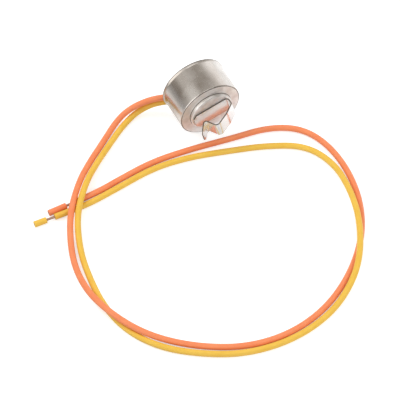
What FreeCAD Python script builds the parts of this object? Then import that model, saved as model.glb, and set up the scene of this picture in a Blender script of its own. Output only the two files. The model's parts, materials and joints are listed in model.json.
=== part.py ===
import FreeCAD, Part
import math
import os
import re

import Sketcher
from FreeCAD import Placement, Rotation, Vector

# A defrost thermostat: a drawn can with a snap switch potted inside, a spring clip
# for an evaporator tube on its face, and two loose leads. Millimetres throughout.
#
# The can lies on its side on the surface Z = 0, with its axis along Y and its face
# towards -Y. Pieces in the can share one local frame: its origin is the middle of
# the boss face, local X is the row's X, local Y points up and local Z points out of
# the face, so a depth inside the can is a negative Z.

SIZES = {
    # drawn can
    "can_radius": 12.7,
    "can_wall": 0.5,
    "barrel_length": 14.1,
    "boss_radius": 8.7,
    "boss_height": 1.5,
    "shoulder_round": 0.45,
    "boss_round": 0.7,
    "boss_foot_round": 0.35,
    "inner_chamfer": 0.5,
    "rim_flare": 0.4,
    "rim_flare_length": 0.9,
    "rim_land": 0.25,
    # tube clip
    "clip_sheet": 0.45,
    "clip_width": 7.4,
    "clip_roll": 13.0,
    "clip_height": 8.5,
    "clip_base_left": 7.8,
    "clip_base_right": 7.55,
    "clip_heel_height": 3.3,
    "clip_knee_along": 3.8,
    "clip_knee_height": 6.05,
    "clip_crest_along": -1.6,
    "clip_dip_along": -4.66,
    "clip_dip_height": 3.6,
    "clip_lip_along": -8.1,
    "clip_lip_height": 7.8,
    "clip_toe_bend": 1.3,
    "clip_heel_bend": 1.1,
    "clip_knee_bend": 9.0,
    "clip_crest_bend": 1.5,
    "clip_dip_bend": 0.9,
    "clip_corner_cut": 1.6,
    "clip_lip_taper": 0.6,
    "clip_lip_corner": 1.1,
    # snap disc and its pin
    "disc_edge_gap": 0.7,
    "disc_sheet": 0.25,
    "disc_dome": 0.5,
    "pin_radius": 0.75,
    "pin_clearance": 0.1,
    "bore_clearance": 0.2,
    # moulded guide and switch base
    "guide_plate": 1.8,
    "guide_ring_width": 1.0,
    "guide_ring_gap": 0.3,
    "base_length": 4.5,
    "base_floor": 1.2,
    "chamber_wall": 2.6,
    "cover_plate": 0.8,
    "slot_clearance": 0.15,
    # contact blade
    "pad_height": 0.8,
    "pad_edge_gap": 0.4,
    "pad_length": 4.6,
    "pad_half_width": 2.4,
    "blade_sheet": 0.2,
    "blade_half_width": 2.0,
    "blade_lift": 0.8,
    "blade_root_length": 4.4,
    "blade_bend_far": 0.8,
    "blade_overhang": 1.5,
    "contact_inset": 4.4,
    "moving_contact_radius": 1.2,
    "moving_contact_height": 0.4,
    "fixed_contact_radius": 1.3,
    "fixed_contact_height": 0.4,
    "contact_stem_radius": 0.6,
    "stem_head_radius": 0.9,
    "stem_head_height": 0.2,
    # terminals and rivets
    "terminal_sheet": 0.5,
    "blade_tab_reach": 5.6,
    "blade_tab_rise": 1.0,
    "fixed_foot_border": 1.5,
    "fixed_foot_step": 0.55,
    "fixed_arm_height": 2.8,
    "fixed_leg_half_width": 1.5,
    "fixed_leg_inset": 2.65,
    "fixed_leg_rise": 3.7,
    "blade_rivet_inset": 2.2,
    "fixed_rivet_inset": 1.4,
    "rivet_radius": 0.7,
    "rivet_head_radius": 1.2,
    "rivet_head_height": 0.5,
    "rivet_sink": 0.6,
    "rivet_sink_clearance": 0.3,
    # leads
    "lead_radius": 1.2,
    "strand_radius": 0.5,
    "core_length": 4.5,
    "crimp_wall": 0.35,
    "crimp_start": 1.0,
    "crimp_length": 3.2,
    "orange_bare": 2.6,
    "orange_slug": 7.3,
    "yellow_bare": 3.4,
    "yellow_slug": 4.9,
}

# The leads' routes in the row frame, from inside the resin to the end of the jacket.
# They lie on the surface, except for the drop from the can and a long low hump
# wherever one crosses over the other or over its own far end.
ORANGE_ROUTE = [
    (-4.0, 9.8, 10.3), (-12.5, 15.4, 8.7), (-21.8, 19.0, 4.6), (-29.7, 17.9, 2.3),
    (-39.4, 11.4, 1.2), (-48.5, 4.6, 2.4), (-57.1, -3.0, 3.9), (-66.5, -14.6, 3.9),
    (-72.8, -28.2, 1.5), (-75.5, -40.7, 2.4), (-74.9, -53.4, 3.9), (-69.1, -68.2, 3.9),
    (-60.5, -78.0, 1.6), (-48.7, -87.6, 1.2), (-34.6, -95.0, 1.2), (-18.7, -97.5, 1.2),
    (-2.7, -94.7, 1.2), (12.3, -86.7, 1.2), (25.3, -74.6, 1.2), (33.3, -60.6, 1.2),
    (36.9, -44.9, 1.2), (36.1, -29.9, 1.2), (30.9, -18.8, 1.2), (19.9, -12.4, 1.2),
    (4.6, -10.3, 1.2), (-10.9, -7.5, 1.2), (-26.9, -5.8, 1.2), (-41.4, -7.2, 1.2),
    (-52.9, -8.7, 1.2), (-62.5, -8.6, 1.2),
]
YELLOW_ROUTE = [
    (-4.0, 9.9, 7.4), (-11.9, 15.2, 5.9), (-20.4, 18.2, 1.8), (-28.9, 15.0, 1.2),
    (-37.8, 9.2, 1.2), (-46.8, 2.6, 2.4), (-55.1, -4.7, 3.9), (-64.2, -15.9, 3.9),
    (-69.5, -29.0, 1.3), (-71.8, -41.4, 1.2), (-72.7, -55.4, 1.2), (-69.9, -68.8, 1.2),
    (-62.3, -80.6, 1.2), (-50.5, -90.0, 1.2), (-36.1, -97.5, 1.2), (-18.7, -100.2, 1.2),
    (-1.9, -97.4, 1.2), (10.5, -91.0, 2.4), (19.7, -82.6, 3.9), (28.1, -68.2, 3.9),
    (32.5, -53.6, 2.8), (33.7, -39.2, 1.4), (28.4, -26.8, 1.2), (14.9, -19.6, 1.2),
    (0.6, -14.9, 1.2), (-13.4, -10.6, 1.2), (-27.9, -8.6, 1.2), (-42.9, -10.3, 1.2),
    (-55.9, -11.7, 1.2), (-64.4, -11.5, 1.2), (-71.1, -11.1, 1.2),
]

doc = FreeCAD.newDocument("DefrostThermostat")
sheet = doc.addObject("Spreadsheet::Sheet", "Sizes")
for row, (alias, size) in enumerate(SIZES.items(), start=1):
    sheet.set(f"A{row}", alias)
    sheet.set(f"B{row}", str(size))
    sheet.setAlias(f"B{row}", alias)
doc.recompute()


def size(alias):
    """A driving dimension, read back from the sheet."""
    return float(sheet.get(alias))


def bound(text):
    """An expression in plain alias words, with each one made a reference to the sheet."""
    return re.sub(r"[a-z][a-z_]+[a-z]", lambda word: "Sizes." + word.group(0), text)


# Depths below the boss face that several pieces share.
SHOULDER = "(boss_height + can_wall)"
GUIDE_REAR = f"({SHOULDER} + guide_plate)"
FLOOR_REAR = f"({GUIDE_REAR} + base_floor)"
BASE_REAR = f"({GUIDE_REAR} + base_length)"
COVER_REAR = f"({BASE_REAR} + cover_plate)"
CAN_DEPTH = "(boss_height + barrel_length)"
FLARE = f"({CAN_DEPTH} - rim_flare_length)"
DISC_CROWN = "(can_wall + disc_dome + disc_sheet)"
PAD_REAR = f"({FLOOR_REAR} + pad_height)"
BLADE_ROOT_REAR = f"({PAD_REAR} + blade_sheet)"
BLADE_FRONT = f"({PAD_REAR} + blade_lift)"
BLADE_REAR = f"({BLADE_FRONT} + blade_sheet)"
BLADE_FOOT_REAR = f"({BLADE_ROOT_REAR} + terminal_sheet)"
FIXED_FOOT_REAR = f"({FLOOR_REAR} + terminal_sheet)"
BLADE_TAB_REAR = f"({COVER_REAR} + blade_tab_rise)"
FIXED_LEG_REAR = f"({COVER_REAR} + fixed_leg_rise)"
RIM_RADIUS = "(can_radius + rim_flare)"
BORE_RADIUS = "(can_radius - can_wall)"
MOULDING_RADIUS = f"({BORE_RADIUS} - bore_clearance)"
DISC_RADIUS = "(boss_radius - can_wall - disc_edge_gap)"

# Distances from the can's axis that the pieces in the switch chamber share.
CHAMBER_RADIUS = f"({MOULDING_RADIUS} - chamber_wall)"
PAD_OUTER = f"({CHAMBER_RADIUS} - pad_edge_gap)"
PAD_INNER = f"({PAD_OUTER} - pad_length)"
BLADE_BEND_NEAR = f"({PAD_OUTER} - blade_root_length)"
BLADE_RIVET_ALONG = f"({PAD_OUTER} - blade_rivet_inset)"
CONTACT_ALONG = f"({CHAMBER_RADIUS} - contact_inset)"
BLADE_TIP = f"({CONTACT_ALONG} + blade_overhang)"
FIXED_LEG_OUTER = f"({CHAMBER_RADIUS} - fixed_leg_inset)"
FIXED_FOOT_LEFT = f"({CONTACT_ALONG} + fixed_foot_border)"
FIXED_FOOT_RIGHT = f"({CONTACT_ALONG} - fixed_foot_border)"
FIXED_FOOT_BOTTOM = f"({FIXED_LEG_OUTER} - fixed_foot_step)"
FIXED_ARM_TOP = f"({FIXED_FOOT_BOTTOM} - fixed_arm_height)"
FIXED_RIVET_DOWN = f"({FIXED_FOOT_BOTTOM} - fixed_rivet_inset)"

# Where each rivet stands on the base: across and up from the can's axis.
RIVET_PLACES = {
    "blade_rivet": (BLADE_RIVET_ALONG, "0"),
    "fixed_rivet": (f"-{CONTACT_ALONG}", f"-{FIXED_RIVET_DOWN}"),
}

# The boss face's Y, which puts the can with its clip in the middle of the row frame.
FRONT = f"(clip_height - {CAN_DEPTH}) / 2"
IN_CAN = Placement(Vector(0, 0, 0), Rotation(Vector(1, 0, 0), 90))


def seat_in_can(piece):
    """Put a piece that was drawn in the can's local frame where the can lies."""
    piece.Placement = IN_CAN
    piece.setExpression("Placement.Base.y", bound(FRONT))
    piece.setExpression("Placement.Base.z", bound(RIM_RADIUS))


def make_body(label):
    body = doc.addObject("PartDesign::Body", label)
    body.Label = label
    seat_in_can(body)
    return body


def make_sketch(body, plane, level=None):
    """A sketch on one of the body's own origin planes, raised to a level along its normal."""
    sketch = body.newObject("Sketcher::SketchObject", body.Label + "_sketch")
    origin_plane = [item for item in body.Origin.OriginFeatures if item.Role == plane][0]
    sketch.AttachmentSupport = [(origin_plane, "")]
    sketch.MapMode = "FlatFace"
    if level is not None:
        sketch.setExpression("AttachmentOffset.Base.z", bound(level))
    return sketch


def pin_point(sketch, geometry, end, across, up):
    """Tie one point of a sketch to its two coordinates, written as expressions."""
    for kind, text in (("DistanceX", across), ("DistanceY", up)):
        index = sketch.addConstraint(Sketcher.Constraint(kind, -1, 1, geometry, end, 1.0))
        sketch.setExpression(f"Constraints[{index}]", bound(text))


def add_outline(sketch, corners):
    """A closed outline of straight edges through corners given as pairs of expressions."""
    places = [Vector(evaluate(across), evaluate(up), 0) for across, up in corners]
    first = sketch.GeometryCount
    for index, place in enumerate(places):
        following = places[(index + 1) % len(places)]
        sketch.addGeometry(Part.LineSegment(place, following))
    for index in range(len(places)):
        following = first + (index + 1) % len(places)
        sketch.addConstraint(Sketcher.Constraint("Coincident", first + index, 2, following, 1))
    for index, (across, up) in enumerate(corners):
        pin_point(sketch, first + index, 1, across, up)


def add_circle(sketch, across, up, radius):
    centre = Vector(evaluate(across), evaluate(up), 0)
    index = sketch.addGeometry(Part.Circle(centre, Vector(0, 0, 1), evaluate(radius)))
    pin_point(sketch, index, 3, across, up)
    constraint = sketch.addConstraint(Sketcher.Constraint("Radius", index, evaluate(radius)))
    sketch.setExpression(f"Constraints[{constraint}]", bound(radius))


def evaluate(text):
    """The value of an expression in alias words, worked out by the sheet itself."""
    return float(sheet.evalExpression(text))


def revolve(body, corners):
    """A ring or disc: its half section, radius across and local Z up, turned about Z."""
    sketch = make_sketch(body, "XZ_Plane")
    add_outline(sketch, corners)
    turned = body.newObject("PartDesign::Revolution", body.Label + "_turned")
    turned.Profile = sketch
    turned.ReferenceAxis = (sketch, ["V_Axis"])
    turned.Angle = 360
    sketch.Visibility = False
    return turned


def pad(body, sketch, length, reverse=False, midplane=False):
    padded = body.newObject("PartDesign::Pad", body.Label + "_pad")
    padded.Profile = sketch
    padded.setExpression("Length", bound(length))
    padded.Reversed = reverse
    padded.Midplane = midplane
    return padded


def pocket(body, sketch, depth, reverse):
    """A pocket whose cut is proved by the volume that it takes away."""
    doc.recompute()
    before = body.Shape.Volume
    cut = body.newObject("PartDesign::Pocket", body.Label + "_pocket")
    cut.Profile = sketch
    cut.setExpression("Length", bound(depth))
    cut.Reversed = reverse
    doc.recompute()
    if not body.Shape.Volume < before - 1e-6:
        raise RuntimeError(f"a pocket in {body.Label} cuts nothing")
    return cut


def ring_edges(shape, radius, height):
    """The names of a turned piece's circular edges at a radius and a local height."""
    names = []
    for number, edge in enumerate(shape.Edges, start=1):
        if not isinstance(edge.Curve, Part.Circle):
            continue
        level = edge.Curve.Center.z
        if abs(edge.Curve.Radius - radius) < 1e-4 and abs(level - height) < 1e-4:
            names.append(f"Edge{number}")
    return names


def round_ring(body, previous, radius, height, rounding):
    """Round a circular edge of a turned piece."""
    doc.recompute()
    names = ring_edges(previous.Shape, evaluate(radius), evaluate(height))
    if not names:
        raise RuntimeError(f"no edge to round on {body.Label} at {radius}, {height}")
    rounded = body.newObject("PartDesign::Fillet", body.Label + "_round")
    rounded.Base = (previous, names)
    rounded.setExpression("Radius", bound(rounding))
    return rounded


def can_shell():
    """Drawn cup: a stepped front with a raised boss, a straight barrel and a flared rim."""
    body = make_body("can_shell")
    previous = revolve(body, [
        ("0", "0"),
        ("boss_radius", "0"),
        ("boss_radius", "-boss_height"),
        ("can_radius", "-boss_height"),
        ("can_radius", f"-{FLARE}"),
        (RIM_RADIUS, f"-({CAN_DEPTH} - rim_land)"),
        (RIM_RADIUS, f"-{CAN_DEPTH}"),
        (f"{RIM_RADIUS} - can_wall", f"-{CAN_DEPTH}"),
        (f"{RIM_RADIUS} - can_wall", f"-({CAN_DEPTH} - rim_land)"),
        (BORE_RADIUS, f"-{FLARE}"),
        (BORE_RADIUS, f"-({SHOULDER} + inner_chamfer)"),
        (f"{BORE_RADIUS} - inner_chamfer", f"-{SHOULDER}"),
        ("boss_radius - can_wall", f"-{SHOULDER}"),
        ("boss_radius - can_wall", "-(can_wall + inner_chamfer)"),
        ("boss_radius - can_wall - inner_chamfer", "-can_wall"),
        ("0", "-can_wall"),
    ])
    for radius, height, rounding in (
        ("can_radius", "-boss_height", "shoulder_round"),
        ("boss_radius", "0", "boss_round"),
        ("boss_radius", "-boss_height", "boss_foot_round"),
    ):
        previous = round_ring(body, previous, radius, height, rounding)
    body.Tip = previous
    return body


def bimetal_disc():
    """Snap disc: a shallow dome that rests on its rim, crown towards the pin."""
    radius = evaluate(DISC_RADIUS)
    dome = size("disc_dome")
    thickness = size("disc_sheet")
    ball_radius = (radius ** 2 + dome ** 2) / (2 * dome)
    ball_centre = Vector(0, 0, ball_radius - size("can_wall") - dome)
    sideways = Vector(1, 0, 0)
    inward = Vector(0, 0, -1)
    rear = Part.makeSphere(ball_radius + thickness, ball_centre, sideways)
    front = Part.makeSphere(ball_radius, ball_centre, sideways)
    blank = Part.makeCylinder(radius, 2 * (dome + thickness), inward * size("can_wall"), inward)
    return make_feature("bimetal_disc", rear.cut(front).common(blank), in_can=True)


def disc_guide():
    """Moulded plate on the can's shoulder: its ring keeps the disc, its hole the pin."""
    body = make_body("disc_guide")
    ring_front = "-(can_wall + disc_sheet + guide_ring_gap)"
    ring_outer = "(boss_radius - can_wall - bore_clearance)"
    revolve(body, [
        ("pin_radius + pin_clearance", f"-{SHOULDER}"),
        (f"{ring_outer} - guide_ring_width", f"-{SHOULDER}"),
        (f"{ring_outer} - guide_ring_width", ring_front),
        (ring_outer, ring_front),
        (ring_outer, f"-{SHOULDER}"),
        (f"{MOULDING_RADIUS} - inner_chamfer", f"-{SHOULDER}"),
        (MOULDING_RADIUS, f"-{SHOULDER} - inner_chamfer"),
        (MOULDING_RADIUS, f"-{GUIDE_REAR}"),
        ("pin_radius + pin_clearance", f"-{GUIDE_REAR}"),
    ])
    return body


def transfer_pin():
    """Ceramic pin that carries the disc's snap to the blade."""
    body = make_body("transfer_pin")
    revolve(body, [
        ("0", f"-{DISC_CROWN}"),
        ("pin_radius", f"-{DISC_CROWN}"),
        ("pin_radius", f"-{BLADE_FRONT}"),
        ("0", f"-{BLADE_FRONT}"),
    ])
    return body


def switch_base():
    """Moulded cup that opens to the rear, with a pad for the blade and two rivet holes."""
    body = make_body("switch_base")
    revolve(body, [
        ("pin_radius + pin_clearance", f"-{GUIDE_REAR}"),
        (MOULDING_RADIUS, f"-{GUIDE_REAR}"),
        (MOULDING_RADIUS, f"-{BASE_REAR}"),
        (CHAMBER_RADIUS, f"-{BASE_REAR}"),
        (CHAMBER_RADIUS, f"-{FLOOR_REAR}"),
        ("pin_radius + pin_clearance", f"-{FLOOR_REAR}"),
    ])
    pad_sketch = make_sketch(body, "XY_Plane", f"-{FLOOR_REAR}")
    add_outline(pad_sketch, [
        (PAD_INNER, "-pad_half_width"),
        (PAD_OUTER, "-pad_half_width"),
        (PAD_OUTER, "pad_half_width"),
        (PAD_INNER, "pad_half_width"),
    ])
    pad(body, pad_sketch, "pad_height", reverse=True)
    for across, up in RIVET_PLACES.values():
        sink = make_sketch(body, "XY_Plane", f"-{GUIDE_REAR}")
        add_circle(sink, across, up, "rivet_head_radius + rivet_sink_clearance")
        pocket(body, sink, "rivet_sink", reverse=False)
        hole = make_sketch(body, "XY_Plane", f"-{GUIDE_REAR}")
        add_circle(hole, across, up, "rivet_radius")
        pocket(body, hole, "base_length", reverse=False)
    return body


def contact_blade():
    """Spring strip: flat on its pad, bent up to the pin, with a hole for its contact."""
    body = make_body("contact_blade")
    side = make_sketch(body, "XZ_Plane")
    add_outline(side, [
        (PAD_OUTER, f"-{PAD_REAR}"),
        (BLADE_BEND_NEAR, f"-{PAD_REAR}"),
        ("blade_bend_far", f"-{BLADE_FRONT}"),
        (f"-{BLADE_TIP}", f"-{BLADE_FRONT}"),
        (f"-{BLADE_TIP}", f"-{BLADE_REAR}"),
        ("blade_bend_far", f"-{BLADE_REAR}"),
        (BLADE_BEND_NEAR, f"-{BLADE_ROOT_REAR}"),
        (PAD_OUTER, f"-{BLADE_ROOT_REAR}"),
    ])
    pad(body, side, "2 * blade_half_width", midplane=True)
    for across, radius in ((f"-{CONTACT_ALONG}", "contact_stem_radius"),
                           (BLADE_RIVET_ALONG, "rivet_radius")):
        hole = make_sketch(body, "XY_Plane", f"-{FLOOR_REAR}")
        add_circle(hole, across, "0", radius)
        pocket(body, hole, "base_length", reverse=False)
    return body


def blade_terminal():
    """Strip on the blade's root, cranked through the cover to a tab under its lead."""
    body = make_body("blade_terminal")
    side = make_sketch(body, "XZ_Plane")
    add_outline(side, [
        (PAD_OUTER, f"-{BLADE_ROOT_REAR}"),
        (BLADE_BEND_NEAR, f"-{BLADE_ROOT_REAR}"),
        (BLADE_BEND_NEAR, f"-({BLADE_TAB_REAR} - terminal_sheet)"),
        (f"{BLADE_BEND_NEAR} - blade_tab_reach", f"-({BLADE_TAB_REAR} - terminal_sheet)"),
        (f"{BLADE_BEND_NEAR} - blade_tab_reach", f"-{BLADE_TAB_REAR}"),
        (f"{BLADE_BEND_NEAR} + terminal_sheet", f"-{BLADE_TAB_REAR}"),
        (f"{BLADE_BEND_NEAR} + terminal_sheet", f"-{BLADE_FOOT_REAR}"),
        (PAD_OUTER, f"-{BLADE_FOOT_REAR}"),
    ])
    pad(body, side, "2 * blade_half_width", midplane=True)
    hole = make_sketch(body, "XY_Plane", f"-{FLOOR_REAR}")
    add_circle(hole, BLADE_RIVET_ALONG, "0", "rivet_radius")
    pocket(body, hole, "base_length", reverse=False)
    return body


def fixed_terminal():
    """Strip on the chamber floor that carries the fixed contact, with a leg to its lead."""
    body = make_body("fixed_terminal")
    foot = make_sketch(body, "XY_Plane", f"-{FLOOR_REAR}")
    add_outline(foot, [
        (f"-{FIXED_FOOT_LEFT}", "fixed_foot_border"),
        (f"-{FIXED_FOOT_LEFT}", f"-{FIXED_FOOT_BOTTOM}"),
        ("-fixed_leg_half_width", f"-{FIXED_FOOT_BOTTOM}"),
        ("-fixed_leg_half_width", f"-{FIXED_LEG_OUTER}"),
        ("fixed_leg_half_width", f"-{FIXED_LEG_OUTER}"),
        ("fixed_leg_half_width", f"-{FIXED_ARM_TOP}"),
        (f"-{FIXED_FOOT_RIGHT}", f"-{FIXED_ARM_TOP}"),
        (f"-{FIXED_FOOT_RIGHT}", "fixed_foot_border"),
    ])
    pad(body, foot, "terminal_sheet", reverse=True)
    leg = make_sketch(body, "XY_Plane", f"-{FLOOR_REAR}")
    add_outline(leg, [
        ("-fixed_leg_half_width", f"-{FIXED_LEG_OUTER}"),
        ("fixed_leg_half_width", f"-{FIXED_LEG_OUTER}"),
        ("fixed_leg_half_width", f"-({FIXED_LEG_OUTER} - terminal_sheet)"),
        ("-fixed_leg_half_width", f"-({FIXED_LEG_OUTER} - terminal_sheet)"),
    ])
    pad(body, leg, f"{FIXED_LEG_REAR} - {FLOOR_REAR}", reverse=True)
    rivet_across, rivet_up = RIVET_PLACES["fixed_rivet"]
    for across, up, radius in ((f"-{CONTACT_ALONG}", "0", "contact_stem_radius"),
                               (rivet_across, rivet_up, "rivet_radius")):
        hole = make_sketch(body, "XY_Plane", f"-{FLOOR_REAR}")
        add_circle(hole, across, up, radius)
        pocket(body, hole, "base_length", reverse=False)
    return body


def chamber_cover():
    """Fibre disc that closes the switch chamber, slotted for the two terminals."""
    body = make_body("chamber_cover")
    face = make_sketch(body, "XY_Plane", f"-{BASE_REAR}")
    add_circle(face, "0", "0", MOULDING_RADIUS)
    near = f"{BLADE_BEND_NEAR} - slot_clearance"
    far = f"{BLADE_BEND_NEAR} + terminal_sheet + slot_clearance"
    half = "(blade_half_width + slot_clearance)"
    add_outline(face, [(near, f"-{half}"), (far, f"-{half}"), (far, half), (near, half)])
    bottom = f"-({FIXED_LEG_OUTER} + slot_clearance)"
    top = f"-({FIXED_LEG_OUTER} - terminal_sheet - slot_clearance)"
    half = "(fixed_leg_half_width + slot_clearance)"
    add_outline(face, [(f"-{half}", bottom), (half, bottom), (half, top), (f"-{half}", top)])
    pad(body, face, "cover_plate", reverse=True)
    return body


def turned_stack(label, across, up, steps):
    """A rivet or contact: discs on one axis, each a radius and its front and rear depths."""
    body = make_body(label)
    for radius, front, rear in steps:
        sketch = make_sketch(body, "XY_Plane", f"-{front}")
        add_circle(sketch, across, up, radius)
        pad(body, sketch, f"{rear} - {front}", reverse=True)
    return body


def moving_contact():
    return turned_stack("moving_contact", f"-{CONTACT_ALONG}", "0", [
        ("moving_contact_radius", f"({BLADE_FRONT} - moving_contact_height)", BLADE_FRONT),
        ("contact_stem_radius", BLADE_FRONT, BLADE_REAR),
        ("stem_head_radius", BLADE_REAR, f"({BLADE_REAR} + stem_head_height)"),
    ])


def fixed_contact():
    return turned_stack("fixed_contact", f"-{CONTACT_ALONG}", "0", [
        ("contact_stem_radius", FLOOR_REAR, FIXED_FOOT_REAR),
        ("fixed_contact_radius", FIXED_FOOT_REAR, f"({FIXED_FOOT_REAR} + fixed_contact_height)"),
    ])


def terminal_rivet(label, strip_rear):
    """Rivet with a sunk front head and a rear head on the strip that it holds."""
    across, up = RIVET_PLACES[label]
    sunk = f"({GUIDE_REAR} + rivet_sink)"
    return turned_stack(label, across, up, [
        ("rivet_head_radius", f"({sunk} - rivet_head_height)", sunk),
        ("rivet_radius", sunk, strip_rear),
        ("rivet_head_radius", strip_rear, f"({strip_rear} + rivet_head_height)"),
    ])


def make_feature(label, shape, in_can=False):
    piece = doc.addObject("Part::Feature", label)
    piece.Label = label
    piece.Shape = shape
    if in_can:
        seat_in_can(piece)
    return piece


def rounded_path(corners, radii):
    """Straight runs joined by tangent arcs, as (start, end, centre) with None for a run."""
    pieces = []
    last = corners[0]
    for before, corner, after, radius in zip(corners, corners[1:], corners[2:], radii):
        arriving = (corner - before).normalize()
        leaving = (after - corner).normalize()
        turn = arriving.getAngle(leaving)
        reach = radius * math.tan(turn / 2)
        start = corner - arriving * reach
        end = corner + leaving * reach
        centre = corner + (leaving - arriving).normalize() * (radius / math.cos(turn / 2))
        pieces.append((last, start, None))
        pieces.append((start, end, centre))
        last = end
    pieces.append((last, corners[-1], None))
    return pieces


def path_edge(start, end, centre):
    if centre is None:
        return Part.LineSegment(start, end).toShape()
    radius = (start - centre).Length
    middle = centre + ((start + end) / 2 - centre).normalize() * radius
    return Part.Arc(start, middle, end).toShape()


def shifted(piece, offset):
    """One piece of a path in the local XZ plane, moved sideways by an offset."""
    start, end, centre = piece
    if centre is None:
        along = (end - start).normalize()
        side = Vector(-along.z, 0, along.x) * offset
        return start + side, end + side, None
    # The side of an arc's start is found from its tangent, at right angles to its radius.
    spoke = (start - centre).normalize()
    turn_left = (start - centre).cross(end - centre).y < 0
    grow = -offset if turn_left else offset
    radius = (start - centre).Length + grow
    return centre + spoke * radius, centre + (end - centre).normalize() * radius, centre


def clip_corners():
    """Corners of the clip's bent centre line: X along the base, Z out of the boss face."""
    half = size("clip_sheet") / 2
    knee = Vector(size("clip_knee_along"), 0, size("clip_knee_height"))
    dip = Vector(size("clip_dip_along"), 0, size("clip_dip_height"))
    bend = size("clip_crest_bend")
    # The crest's corner stands above the arc that rounds it, so that the arc's top,
    # with half the sheet, comes to the clip's stated height.
    crest_x = size("clip_crest_along")
    crest_z = size("clip_height")
    for _ in range(30):
        crest = Vector(crest_x, 0, crest_z)
        arriving = (crest - knee).normalize()
        leaving = (dip - crest).normalize()
        turn = arriving.getAngle(leaving)
        centre = crest + (leaving - arriving).normalize() * (bend / math.cos(turn / 2))
        crest_z += size("clip_height") - (centre.z + bend + half)
    return [
        Vector(-size("clip_base_left"), 0, half),
        Vector(size("clip_base_right"), 0, half),
        Vector(size("clip_base_right"), 0, size("clip_heel_height")),
        knee,
        Vector(crest_x, 0, crest_z),
        dip,
        Vector(size("clip_lip_along"), 0, size("clip_lip_height")),
    ]


def trim(shape, origin, along, outline, depth):
    """Cut a prism away: its outline lies in the plane of 'along' and the clip's width."""
    across = Vector(0, 1, 0)
    normal = along.cross(across)
    corners = [origin + along * a + across * w - normal * (depth / 2) for a, w in outline]
    wire = Part.makePolygon(corners + corners[:1])
    return shape.cut(Part.Face(wire).extrude(normal * depth))


def tube_clip():
    """One strip of spring steel: base on the boss, heel, sprung leaf, crest, dip and lip."""
    half = size("clip_sheet") / 2
    width = size("clip_width")
    corners = clip_corners()
    radii = [size("clip_" + name + "_bend") for name in ("toe", "heel", "knee", "crest", "dip")]
    centre_line = rounded_path(corners, radii)
    outer = [shifted(piece, half) for piece in centre_line]
    inner = [shifted(piece, -half) for piece in centre_line]
    edges = [path_edge(*piece) for piece in outer]
    edges.append(Part.LineSegment(outer[-1][1], inner[-1][1]).toShape())
    edges += [path_edge(*piece) for piece in reversed(inner)]
    edges.append(Part.LineSegment(inner[0][0], outer[0][0]).toShape())
    section = Part.Face(Part.Wire(edges))
    section.translate(Vector(0, -width / 2, 0))
    strip = section.extrude(Vector(0, width, 0))

    # Corners of the base's free end, cut off at about 45 degrees.
    cut = size("clip_corner_cut")
    spare = 1.0
    deep = 2 * size("clip_sheet") + spare
    for side in (-1, 1):
        edge = side * width / 2
        strip = trim(strip, corners[0], Vector(1, 0, 0), [
            (-spare, edge - side * (cut + spare)),
            (-spare, edge + side * spare),
            (cut + spare, edge + side * spare),
        ], deep)

    # The lip narrows from the dip to its end, and loses its corners there.
    along = (corners[-2] - corners[-1]).normalize()
    lip_length = (corners[-2] - corners[-1]).Length
    taper = size("clip_lip_taper")
    corner = size("clip_lip_corner")
    for side in (-1, 1):
        edge = side * width / 2
        strip = trim(strip, corners[-1], along, [
            (-spare, edge - side * (taper + corner)),
            (0, edge - side * (taper + corner)),
            (corner, edge - side * taper),
            (lip_length - size("clip_dip_bend"), edge),
            (lip_length - size("clip_dip_bend"), edge + side * spare),
            (-spare, edge + side * spare),
        ], deep)

    clip = make_feature("tube_clip", strip, in_can=True)
    roll = Rotation(Vector(0, 0, 1), size("clip_roll"))
    clip.Placement = Placement(Vector(0, 0, 0), IN_CAN.Rotation * roll)
    return clip


def route_points(route):
    return [Vector(*point) for point in route]


def lead(label, route):
    """A plain round jacket along its route: straight runs and tangent arcs."""
    points = route_points(route)
    radii = []
    for before, corner, after in zip(points, points[1:], points[2:]):
        arriving = corner - before
        leaving = after - corner
        shorter = min(arriving.Length, leaving.Length)
        radii.append(0.45 * shorter / math.tan(arriving.getAngle(leaving) / 2))
    path = Part.Wire([path_edge(*piece) for piece in rounded_path(points, radii)])
    radius = size("lead_radius")
    rim = Part.Wire([Part.Circle(points[0], points[1] - points[0], radius).toShape()])
    jacket = path.makePipeShell([rim], True, False)
    expected = math.pi * radius ** 2 * path.Length
    print(f"{label}: length {path.Length:.1f}, smallest radii {sorted(round(r, 1) for r in radii)[:5]}")
    print(f"{label}: volume {jacket.Volume:.1f} against section times length {expected:.1f}")
    if abs(jacket.Volume - expected) > 0.002 * expected:
        raise RuntimeError(f"{label} isn't a true tube")
    return make_feature(label, jacket)


def lead_end(colour, route, bare, slug):
    """The stripped far end: bare strands with a short slug of jacket left on their tip."""
    points = route_points(route)
    start = points[-1]
    along = (points[-1] - points[-2]).normalize()
    strand = size("strand_radius")
    strands = Part.makeCylinder(strand, bare + slug, start, along)
    sleeve = Part.makeCylinder(size("lead_radius"), slug, start + along * bare, along)
    bore = Part.makeCylinder(strand, slug, start + along * bare, along)
    return [
        make_feature("conductor_" + colour, strands),
        make_feature("slug_" + colour, sleeve.cut(bore)),
    ]


def lead_root(colour, route):
    """The stripped end in the resin: bared strands in the barrel of their terminal."""
    points = route_points(route)
    start = points[0]
    along = (points[0] - points[1]).normalize()
    strand = size("strand_radius")
    core = make_feature("core_" + colour, Part.makeCylinder(strand, size("core_length"), start, along))
    foot = start + along * size("crimp_start")
    outer = Part.makeCylinder(strand + size("crimp_wall"), size("crimp_length"), foot, along)
    bore = Part.makeCylinder(strand, size("crimp_length"), foot, along)
    crimp = make_feature("crimp_" + colour, outer.cut(bore))
    return [core, crimp]


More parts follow.
